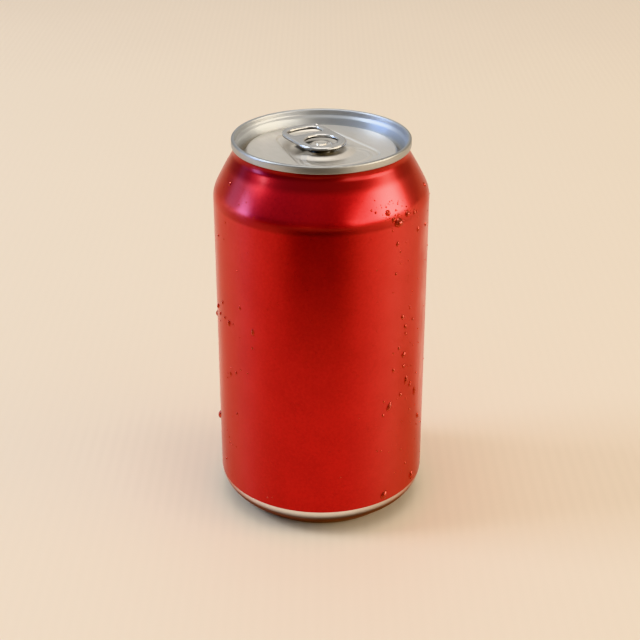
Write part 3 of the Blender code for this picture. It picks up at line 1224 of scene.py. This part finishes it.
    def rolled(self, loop: Array, normal: Array, section: Array, push: Array) -> Array:
        """Section carried along a loop: the loop plus its normal times the section's offset.

        Args:
            loop: Edge points of shape (n, 2).
            normal: Unit normals that point into the sheet, of the same shape.
            section: Offset and depth of each section point.
            push: Outward push of each edge point, which the section's side takes in full.

        Returns:
            A grid of shape (len(section), n, 3).
        """
        side = 1 - smooth_step(section[:, 0], 0, 0.8 * self.hem)
        offset = section[:, 0, None] - side[:, None] * push
        flat = loop + normal * offset[..., None]
        height = np.broadcast_to(self.top - section[:, 1, None], offset.shape)
        return np.concatenate([flat, height[..., None]], 2)

    @staticmethod
    def web(inner: Array, outer: Array, rows: int) -> Array:
        """Flat ring between two loops, by straight lines between matching points."""
        share = np.linspace(0, 1, rows)[:, None, None]
        return inner + share * (outer - inner)

    def sheet_ring(self, mesh: SurfaceMesh, outer: Array, hidden: Array, loop: Array) -> None:
        """Adds the sheet round one opening: top web, rolled edge and underside.

        Args:
            mesh: Mesh that takes the surfaces.
            outer: Ring at the top where the rim's roll or the other half starts.
            hidden: The same ring for the underside.
            loop: The opening's edge.
        """
        normal = closed_normals(loop)
        section = self.roll(self.curl, self.curl_return, self.curl_steps)
        curl = self.rolled(loop, normal, section, np.zeros(len(loop)))
        top = self.web(curl[0, :, :2], outer, self.top_rows)
        top = np.concatenate([top, self.web_height(top[..., 0], top[..., 1])[..., None]], 2)
        curl[0] = top[0]
        under = self.web(curl[-1, :, :2], hidden, self.under_rows)
        height = np.full(under.shape[:2] + (1,), self.top - self.sheet)
        under = np.concatenate([under, height], 2)
        mesh.grid(np.concatenate([top[::-1], curl[1:-1], under]))

    def build_sheet(self) -> bpy.types.Object:
        """The sheet as two rings, round the hole and round the slot, and the rolled rim.

        The rings share the split line between hole and slot, and meet the rim's roll at its first
        and last rows, so the whole is one closed skin.

        Returns:
            The piece.
        """
        heel, nose = self.rim()
        edge = np.concatenate([heel[:-1], nose[:-1]])
        inward = -closed_normals(edge)
        travelled = np.arange(len(edge)) * np.hypot(*np.diff(edge[:2], axis=0).T)
        straight = smooth_step(np.abs(edge[:, 0]), *self.knurl_across)
        straight = straight * smooth_step(edge[:, 1], *self.knurl_along)
        knurl = 0.5 + 0.5 * np.sin(travelled * math.tau / self.knurl_pitch)
        far = edge[:, 1] > self.heel_centre
        nib = np.exp(-((edge[:, 0] - self.nib_x) / self.nib_width) ** 2) * far
        push = self.nib_reach * nib - self.knurl_depth * knurl * straight
        section = self.roll(self.hem, self.hem_return, self.corner_steps)
        rim = self.rolled(edge, inward, section, push)
        rim[0, :, 2] = self.web_height(rim[0, :, 0], rim[0, :, 1])
        over_corner = slice(1, 10)
        rim[over_corner, :, 2] += self.nib_reach * nib
        mesh = SurfaceMesh("tab_sheet")
        mesh.grid(rim)
        turn = self.heel_columns - 1
        for start, stop, loop_of, middle in (
            (0, turn, self.hole_loop, self.hole_centre),
            (turn, len(edge), self.slot_loop, 0.0),
        ):
            rows = []
            for ring in (rim[0, :, :2], rim[-1, :, :2]):
                around = np.concatenate([ring, ring[:1]])[start:stop + 1]
                share = np.linspace(0, 1, self.split_columns)[1:-1, None]
                bridge = around[-1] + share * (around[0] - around[-1])
                rows.append(np.concatenate([around, bridge]))
            outer, hidden = rows
            direction = np.arctan2(outer[:, 1] - middle, outer[:, 0])
            self.sheet_ring(mesh, outer, hidden, loop_of(direction))
        # Painted shade on the lower part of the rolled rim; the underside is left unshaded.
        sheet = mesh.build(RolledSheet(
            "Tab sheet", smooth=0.12, rough=0.18,
            light=(0.71, 0.70, 0.69, 1.0), dark=(0.66, 0.65, 0.64, 1.0),
            shade_from=self.top - 0.90 * MM, shade_to=self.top - 0.18 * MM,
            under=self.top - 1.12 * MM,
        ).material(), 1e-6)
        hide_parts("tab")
        return sheet

    def build_island(self) -> bpy.types.Object:
        """Tongue under the rivet: a ring that is free along the slot and rises into the nose.

        Its edge lies at the slot's inner radius along the slot, a little lower than its middle.
        Past the slot's ends it reaches under the nose's sheet while its height follows a smooth
        step of the radius.

        Returns:
            The piece.
        """
        angle = np.linspace(0, math.tau, 360, endpoint=False)
        from_heel = np.degrees(np.abs(np.arctan2(np.cos(angle), np.sin(angle))))
        untied, full = self.island_tie
        tied = smooth_step(from_heel, self.slot_end + untied, self.slot_end + full)
        free = self.slot_radius - self.slot_width
        reach = free + tied * (self.slot_radius + self.island_overlap - free)
        share = np.linspace(0, 1, 30)[:, None]
        inner = reach - self.island_bend
        radius = self.island_hole + share * (inner - self.island_hole)
        rise = smooth_step(radius, *self.island_rise) * tied
        fall = self.island_fall * smooth_step(radius, self.island_flat, free) * (1 - tied)
        highest = self.top - self.island_under
        height = self.island_top - fall + rise * (highest - self.island_top)
        bend = arc((0, -self.island_bend), self.island_bend, 90, 0, 6)[1:]
        lip_radius = inner + bend[:, :1]
        lip_height = height[-1] + bend[:, 1:]
        top = np.concatenate([radius, lip_radius])
        level = np.concatenate([height, lip_height])
        below_radius = np.concatenate([lip_radius[-1:], radius[::-1]])
        below = np.concatenate([lip_height[-1:] - self.island_sheet, height[::-1] - self.island_sheet])
        rows = np.concatenate([top, below_radius, top[:1]])
        levels = np.concatenate([level, below, level[:1]])
        grid = np.stack([rows * np.cos(angle), rows * np.sin(angle), levels], 2)
        mesh = SurfaceMesh("tab_island")
        mesh.grid(grid)
        # Painted shade along the island's lowered edge by the slot.
        island = mesh.build(RolledSheet(
            "Island sheet", smooth=0.16, rough=0.24,
            shade_from=self.island_top - self.island_fall - 0.2 * MM,
            shade_to=self.island_top - self.island_fall,
        ).material())
        return island


@dataclass(frozen=True)
class Drop:
    """One drop: where it clings, its size, and how far its long axis leans from upright."""

    azimuth: float
    height: float
    width: float
    length: float
    lean: float = 0.0


@dataclass
class Condensation:
    """Water that has condensed on the outside of the can.

    Angles are in degrees and the drops' heights and sizes in millimetres. A width is a gamma draw,
    given by its shape and scale, plus a least width. The dew lies round one middle and spread.
    """

    body: CanBody
    rise: float = 0.42
    sink: float = 0.06 * MM
    edge_sink: float = 0.015 * MM
    rings: int = 9
    columns: int = 28
    seed: int = 12
    small_count: int = 150
    small_sides: tuple[float, ...] = (-68.0, -185.0, 60.0, 110.0)
    small_shares: tuple[float, ...] = (0.38, 0.22, 0.2, 0.2)
    small_spread: float = 14.0
    small_heights: Span = (14.0, 112.0)
    small_width: tuple[float, float, float] = (3.0, 0.09, 0.18)
    dew_count: int = 70
    dew_azimuth: Span = (-81.0, 6.0)
    dew_height: Span = (106.5, 2.2)
    dew_width: tuple[float, float, float] = (4.0, 0.05, 0.14)
    seen: tuple[Drop, ...] = (
        Drop(-184.9, 111.9, 0.8, 1.7, 10), Drop(-170.1, 108.2, 0.5, 0.6), Drop(-157.6, 106.3, 0.5, 0.6),
        Drop(-197.3, 69.3, 1.0, 1.7), Drop(-192.3, 68.0, 0.7, 1.2), Drop(-206.3, 64.3, 1.0, 1.9),
        Drop(-179.7, 67.8, 1.1, 2.1, -4), Drop(-185.0, 68.4, 0.7, 0.9), Drop(-175.3, 68.4, 0.5, 0.8),
        Drop(-159.6, 69.0, 1.1, 2.4, -3), Drop(-160.2, 63.5, 0.6, 0.9), Drop(-179.7, 50.1, 0.7, 1.7),
        Drop(-208.5, 26.6, 2.0, 2.9), Drop(-191.0, 94.5, 0.7, 0.8),
        Drop(-72.9, 72.3, 1.1, 1.7), Drop(-70.4, 68.6, 1.0, 1.6, 6), Drop(-69.9, 66.1, 0.8, 1.1, 10),
        Drop(-75.3, 62.2, 0.8, 1.2, 8), Drop(-71.2, 59.2, 1.3, 2.2, 30), Drop(-71.0, 55.1, 0.9, 1.3, 6),
        Drop(-79.1, 55.4, 0.9, 1.5, 5), Drop(-68.1, 49.5, 1.3, 3.3, 8), Drop(-81.7, 43.2, 1.3, 3.4, 28),
        Drop(-63.8, 38.0, 0.7, 0.8), Drop(-52.4, 32.4, 1.0, 2.0), Drop(-58.7, 43.2, 0.9, 3.2, 3),
        Drop(-67.1, 74.8, 0.4, 0.5), Drop(-66.5, 18.8, 0.7, 0.9), Drop(-59.2, 12.0, 1.6, 3.2, 12),
        Drop(-83.9, 11.4, 2.2, 3.2, 26), Drop(-110.5, 21.8, 0.5, 0.6), Drop(-89.2, 28.7, 0.5, 0.6),
        Drop(-78.0, 104.0, 3.0, 3.0), Drop(-70.9, 105.6, 1.8, 2.0, 20), Drop(-77.8, 106.2, 0.8, 0.8),
        Drop(-81.3, 105.4, 1.4, 1.4), Drop(-70.4, 107.5, 0.6, 0.6), Drop(-84.3, 107.6, 1.8, 1.8),
        Drop(-41.0, 108.7, 0.7, 1.6), Drop(-64.7, 104.9, 0.9, 1.6, 20), Drop(-78.5, 97.3, 0.9, 1.7, 12),
        Drop(-60.6, 98.7, 0.8, 1.8, 20), Drop(-151.9, 11.7, 0.6, 0.6), Drop(-148.9, 12.3, 0.5, 0.5),
    )

    def scattered(self) -> Array:
        """Small drops strewn by a seeded draw, thickest on the sides that the listed ones are on.

        Returns:
            Rows of azimuth, height, width, length and lean, in degrees and millimetres.
        """
        draw = np.random.default_rng(self.seed)
        count = self.small_count
        side = draw.choice(self.small_sides, count, p=self.small_shares)
        azimuth = side + draw.normal(0, self.small_spread, count)
        height = draw.uniform(*self.small_heights, count)
        shape, scale, least = self.small_width
        width = draw.gamma(shape, scale, count) + least
        length = width * draw.uniform(1.0, 1.7, count)
        strewn = np.stack([azimuth, height, width, length, draw.uniform(-8, 14, count)], 1)
        count = self.dew_count
        shape, scale, least = self.dew_width
        width = draw.gamma(shape, scale, count) + least
        azimuth = draw.normal(*self.dew_azimuth, count)
        height = draw.normal(*self.dew_height, count)
        dew = np.stack([azimuth, height, width, width * 1.1, np.zeros(count)], 1)
        return np.concatenate([strewn, dew])

    def build(self) -> bpy.types.Object:
        """All drops as one joined mesh of low caps that bulge towards their lower ends.

        Over a disc of radius s and angle t, a cap reaches half its width and length times s, its
        lower half is fuller, and it rises by the rise times its width times (1 - s^2)^0.75. The
        disc is laid on the can's outside along its azimuth and slope.

        Returns:
            The piece.
        """
        listed = np.array([
            (d.azimuth, d.height, d.width, d.length, d.lean) for d in self.seen
        ])
        rows = np.concatenate([listed, self.scattered()])[:, :, None, None]
        azimuth, height, width, length, lean = np.moveaxis(rows, 1, 0)
        disc = np.sin(np.linspace(0, math.pi / 2, self.rings))[None, :, None]
        angle = np.linspace(0, math.tau, self.columns, endpoint=False)[None, None, :]
        across = disc * np.cos(angle) * width / 2 * MM
        along = disc * np.sin(angle) * length / 2 * MM
        across = across * (1 - 0.16 * disc * np.sin(angle))
        cosine, sine = np.cos(np.radians(lean)), np.sin(np.radians(lean))
        across, along = across * cosine + along * sine, along * cosine - across * sine
        radius, tilt = self.body.at(height * MM)
        level = height * MM + along * np.cos(tilt)
        radius, tilt = self.body.at(level)
        turn = np.radians(azimuth) + across / radius
        lift = (1 - disc**2) ** 0.75 * self.rise * np.minimum(width, length) * MM * (
            1 - 0.25 * disc * np.sin(angle)
        )
        tops = self.laid(radius, turn, level, tilt, lift - self.edge_sink)
        edge_first = (rings[:, ::-1] for rings in (radius, turn, level, tilt))
        floor = self.laid(*edge_first, np.full_like(lift, -self.sink))
        mesh = SurfaceMesh("condensed_drops")
        for cap, base in zip(tops, floor):
            mesh.grid(np.concatenate([cap, base]))
        drops = mesh.build(ClearWater().material())
        return drops

    @staticmethod
    def laid(radius: Array, turn: Array, level: Array, tilt: Array, lift: Array) -> Array:
        """Points lifted off the can's outside along its normal."""
        out = radius + lift * np.cos(tilt)
        return np.stack([out * np.cos(turn), out * np.sin(turn), level + lift * np.sin(tilt)], -1)


@dataclass(frozen=True)
class Lamp:
    """One soft rectangular light, aimed at the can, its azimuth counted from the camera's."""

    name: str
    azimuth: float
    elevation: float
    width: float
    height: float
    watts: float
    colour: Light
    distance: float = 1.5

    def build(self, target: Array, turn: float) -> None:
        """Puts the light on a sphere round the target, facing it.

        Args:
            target: The point that it is aimed at.
            turn: The camera's azimuth in degrees.
        """
        a, e = math.radians(self.azimuth + turn), math.radians(self.elevation)
        back = np.array([math.sin(a) * math.cos(e), -math.cos(a) * math.cos(e), math.sin(e)])
        data = bpy.data.lights.new(self.name, "AREA")
        data.shape = "RECTANGLE"
        data.size, data.size_y = self.width, self.height
        data.energy = self.watts
        data.color = self.colour
        light = bpy.data.objects.new(self.name, data)
        light.location = target + back * self.distance
        light.rotation_euler = look(-back)
        light.visible_camera = False
        bpy.context.scene.collection.objects.link(light)


def look(direction: Array) -> tuple[float, float, float]:
    """Euler angles that turn -Z along a direction with Y kept up."""
    x, y, z = direction / np.linalg.norm(direction)
    return (math.acos(-z), 0.0, math.atan2(-x, y))


@dataclass
class Studio:
    """Pale floor, soft lights, and the camera at the photograph's angle."""

    azimuth: float = -31.0
    distance: float = 408.6 * MM
    height: float = 261.4 * MM
    pitch: float = 26.19
    yaw: float = 0.056
    focal_pixels: float = 1422.6
    frame_pixels: float = 640.0
    sensor: float = 36.0
    floor_half: float = 1.6
    floor_flat: float = 1.0
    floor_rise: float = 0.35
    flag_near: float = 115 * MM
    flag_dark: float = 290 * MM
    flag_far: float = 1400 * MM
    flag_turn: float = -2.0
    flag_core: float = 15.0
    flag_edge: float = 52.0
    flag_cover: float = 0.95
    flag_height: float = 0.5 * MM
    flag_light: Colour = (0.02, 0.015, 0.015, 1.0)
    flag_black: Colour = (0.012, 0.010, 0.010, 1.0)
    soft: Light = (1.0, 0.95, 0.87)
    warm: Light = (1.0, 0.92, 0.77)
    amber: Light = (1.0, 0.84, 0.58)
    cool: Light = (0.78, 0.88, 1.0)
    sky: Light = (0.26, 0.48, 1.0)
    room_left: Colour = (0.90, 0.94, 0.98, 1.0)
    room_right: Colour = (1.0, 0.90, 0.76, 1.0)
    room_low: float = 0.17
    room_rise: float = 0.38
    room_behind: float = 0.24
    room_upward: Span = (0.05, 0.62)
    room_backward: Span = (-0.1, 0.8)
    room_across: Span = (-0.9, 0.9)

    def lamps(self) -> tuple[Lamp, ...]:
        """Cool window on the left, warm one on the right, and soft light from above."""
        return (
            Lamp("window_left_near", -88, 11, 0.36, 0.42, 4.2, self.sky),
            Lamp("window_left_far", -110, 11, 0.36, 0.42, 0.5, self.sky),
            Lamp("window_left_high", -89, 40, 0.50, 0.50, 9.5, self.cool),
            Lamp("window_right", 66, 20, 2.10, 0.68, 12.0, self.warm),
            Lamp("window_right_core", 80, 20, 0.75, 0.45, 4.0, self.amber),
            Lamp("ceiling", 0, 85, 1.10, 1.10, 6.2, self.soft),
        )

    def floor(self) -> None:
        """Level square that rises past its flat part, by the square of the way past it."""
        line = np.linspace(-self.floor_half, self.floor_half, 61)
        x, y = np.meshgrid(line, line)
        past = np.maximum(np.hypot(x, y) - self.floor_flat, 0)
        mesh = SurfaceMesh("floor")
        mesh.grid(np.stack([x, y, self.floor_rise * past**2], 2), Around.OPEN)
        floor = mesh.build(PaleBoard().material())

    def flag_finish(self) -> bpy.types.Material:
        """Painted dark reflection: a dark sheet that comes in by distance from the can and fades out
        sideways.

        Returns:
            The material: a mix of transparent and dark by that cover.
        """
        graph = Graph("Dark flag")
        place = graph.place()
        x, y, _ = graph.parts(place)
        turn = math.radians(self.azimuth + self.flag_turn)
        ahead = x * math.sin(turn) - y * math.cos(turn)
        aside = x * math.cos(turn) + y * math.sin(turn)
        reach = (ahead * ahead + aside * aside) ** 0.5
        bearing = abs(aside.math("ARCTAN2", ahead))
        cover = reach.ramp(self.flag_near, self.flag_dark) * bearing.ramp(
            math.radians(self.flag_core), math.radians(self.flag_edge), self.flag_cover, 0.0
        )
        dark_reflection_tone = graph.mix(graph.noise(place, 20.0), self.flag_black, self.flag_light)
        graph.dress(base_color=dark_reflection_tone, roughness=0.9)
        clear = graph.node("ShaderNodeBsdfTransparent")
        shown = graph.node("ShaderNodeMixShader", None, {
            0: cover, 1: clear, 2: Value(graph, graph.shader.outputs[0]),
        })
        graph.feed(graph.tree.nodes["Material Output"].inputs["Surface"], shown)
        return graph.material

    def flag(self) -> None:
        """Dark card on the floor before the camera, which only the can's reflections see: a painted
        dark reflection of the room.
        """
        reach = np.linspace(self.flag_near, self.flag_far, 12)[:, None]
        spread = np.linspace(-self.flag_edge, self.flag_edge, 24)
        side = np.radians(spread + self.azimuth + self.flag_turn)
        flat = np.full_like(reach * side, self.flag_height)
        mesh = SurfaceMesh("flag")
        mesh.grid(np.stack([reach * np.sin(side), -reach * np.cos(side), flat], 2), Around.OPEN)
        flag = mesh.build(self.flag_finish())
        flag.visible_camera = False
        flag.visible_diffuse = False
        flag.visible_shadow = False

    def world(self) -> None:
        """Dim room, brighter upwards and behind the can, cooler on the left than on the right.

        Its strength is the low level, plus the rise times a smooth step of the direction's height,
        plus the glow behind times a smooth step of how far the direction points that way.
        """
        graph = RoomGraph("Room")
        x, y, z = graph.parts(graph.node("ShaderNodeTexCoord", output="Generated"))
        turn = math.radians(self.azimuth)
        behind = y * math.cos(turn) - x * math.sin(turn)
        right = x * math.cos(turn) + y * math.sin(turn)
        glow = behind.ramp(*self.room_backward) * self.room_behind
        strength = z.ramp(*self.room_upward) * self.room_rise + glow
        colour = graph.mix(right.ramp(*self.room_across), self.room_left, self.room_right)
        graph.feed(graph.shader.inputs["Color"], colour)
        graph.feed(graph.shader.inputs["Strength"], strength + self.room_low)
        bpy.context.scene.world = graph.world

    def camera(self) -> None:
        """Camera from the fit of the can's outline: place, pitch and focal length."""
        data = bpy.data.cameras.new("camera")
        data.sensor_width = self.sensor
        data.lens = self.focal_pixels * self.sensor / self.frame_pixels
        camera = bpy.data.objects.new("camera", data)
        a = math.radians(self.azimuth)
        camera.location = (
            self.distance * math.sin(a), -self.distance * math.cos(a), self.height
        )
        camera.rotation_euler = (
            math.radians(90 - self.pitch), 0.0, math.radians(self.azimuth + self.yaw)
        )
        bpy.context.scene.collection.objects.link(camera)
        bpy.context.scene.camera = camera

    def build(self, target: Array) -> None:
        """Makes the floor, surroundings, lights and camera."""
        self.floor()
        self.flag()
        self.world()
        for lamp in self.lamps():
            lamp.build(target, self.azimuth)
        self.camera()
        bpy.context.scene.view_settings.view_transform = "Khronos PBR Neutral"


def report(piece: bpy.types.Object) -> None:
    """Makes a piece ride on the can and logs its size."""
    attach(piece, "root")
    LOG.info("%s: %d faces", piece.name, len(piece.data.polygons))


def main() -> None:
    """Builds the can's pieces in order, then the studio."""
    logging.basicConfig(level=logging.INFO, format="%(message)s")
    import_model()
    _, body_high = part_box("body")
    _, lid_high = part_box("lid")
    _, tab_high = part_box("tab")
    seam_bottom = lid_high.z - SEAM_HEIGHT
    body = CanBody(radius=body_high.x, seam_bottom=seam_bottom)
    lid = Lid(top=lid_high.z, seam_radius=lid_high.x, seam_bottom=seam_bottom)
    tab = Tab(top=tab_high.z)
    builders: tuple[Callable[[], bpy.types.Object], ...] = (
        body.build,
        lid.build,
        Rivet(lid.panel_top).build,
        tab.build_sheet,
        tab.build_island,
        Condensation(body).build,
    )
    for build in builders:
        report(build())
    Studio().build(np.array([0.0, 0.0, lid_high.z / 2]))


if __name__ == "__main__":
    main()
